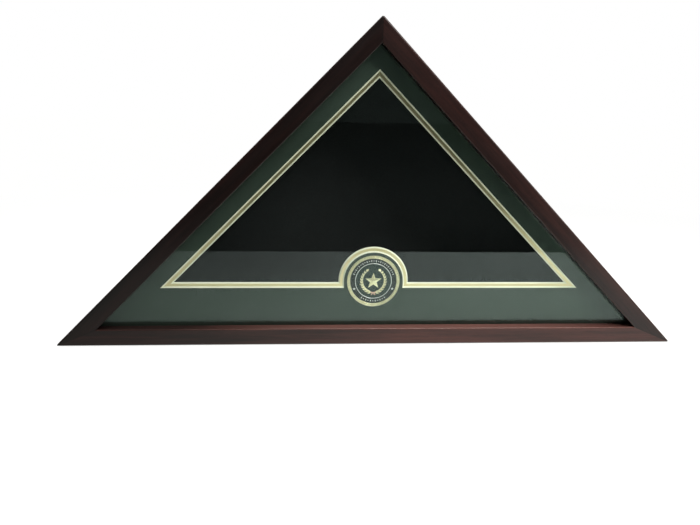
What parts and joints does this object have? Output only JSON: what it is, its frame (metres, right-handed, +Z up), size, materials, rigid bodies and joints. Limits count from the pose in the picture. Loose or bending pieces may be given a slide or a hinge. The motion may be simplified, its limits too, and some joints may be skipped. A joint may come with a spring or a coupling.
{
  "type": "flag display case",
  "caption": "Free-standing triangular wooden case with a glazed front, a double mat with a round medallion, and a removable back held by turn buttons, for showing a folded flag.",
  "frame": {"origin": "centre of the flat underside of the base rail, half way between the front face and the rear edge of the rails", "axes": "+X to the viewer's right along the base, +Y from the front face to the back, +Z up to the top corner"},
  "size_m": [0.669, 0.0986, 0.3354],
  "materials": {
    "stained_wood": "satin lacquer over dark mahogany stain",
    "clear_glass": "polished float glass",
    "green_mat_board": "matte, slightly toothed mat board with a cream core",
    "gold_mat_board": "soft metallic champagne gold surface paper with a cream core",
    "gold_plate": "antique gold plating",
    "enamel": "dark green-black soft enamel",
    "foam_tape": "white foam tape",
    "grey_card": "plain grey card",
    "black_liner": "matte black stain",
    "black_felt": "black felt",
    "hardboard": "dark brown hardboard, smooth side out",
    "bright_plating": "bright zinc or nickel plating"
  },
  "bodies": {
    "case": {"base_rail": "stained_wood", "left_rail": "stained_wood", "right_rail": "stained_wood", "corner_v_nails": "bright_plating", "glass_pane": "clear_glass", "green_mat": "green_mat_board", "gold_mat": "gold_mat_board", "medallion_body": "gold_plate", "medallion_enamel": "enamel", "medallion_adhesive": "foam_tape", "medallion_backer": "grey_card", "base_liner": "black_liner", "left_liner": "black_liner", "right_liner": "black_liner", "liner_brads": "bright_plating", "turn_button_screws": "bright_plating"},
    "back": {"back_panel": "hardboard", "back_felt": "black_felt"},
    "base_left_button": {"base_left_turn_button": "bright_plating"},
    "base_right_button": {"base_right_turn_button": "bright_plating"},
    "left_lower_button": {"left_lower_turn_button": "bright_plating"},
    "left_upper_button": {"left_upper_turn_button": "bright_plating"},
    "right_lower_button": {"right_lower_turn_button": "bright_plating"},
    "right_upper_button": {"right_upper_turn_button": "bright_plating"}
  },
  "joints": [
    {"name": "back_lift_off", "type": "slide", "parent": "case", "child": "back", "axis": [0, 1, 0], "range_m": [0, 0.12]},
    {"name": "base_left_button_turn", "type": "hinge", "parent": "case", "child": "base_left_button", "pos_m": [-0.1665, 0.0482, 0.00575], "axis": [0, -1, 0], "continuous": true},
    {"name": "base_right_button_turn", "type": "hinge", "parent": "case", "child": "base_right_button", "pos_m": [0.1665, 0.0482, 0.00575], "axis": [0, 1, 0], "continuous": true},
    {"name": "left_lower_button_turn", "type": "hinge", "parent": "case", "child": "left_lower_button", "pos_m": [-0.24758, 0.0482, 0.08079], "axis": [0, 1, 0], "continuous": true},
    {"name": "left_upper_button_turn", "type": "hinge", "parent": "case", "child": "left_upper_button", "pos_m": [-0.0807, 0.0482, 0.24766], "axis": [0, -1, 0], "continuous": true},
    {"name": "right_lower_button_turn", "type": "hinge", "parent": "case", "child": "right_lower_button", "pos_m": [0.24758, 0.0482, 0.08079], "axis": [0, -1, 0], "continuous": true},
    {"name": "right_upper_button_turn", "type": "hinge", "parent": "case", "child": "right_upper_button", "pos_m": [0.0807, 0.0482, 0.24766], "axis": [0, 1, 0], "continuous": true}
  ]
}
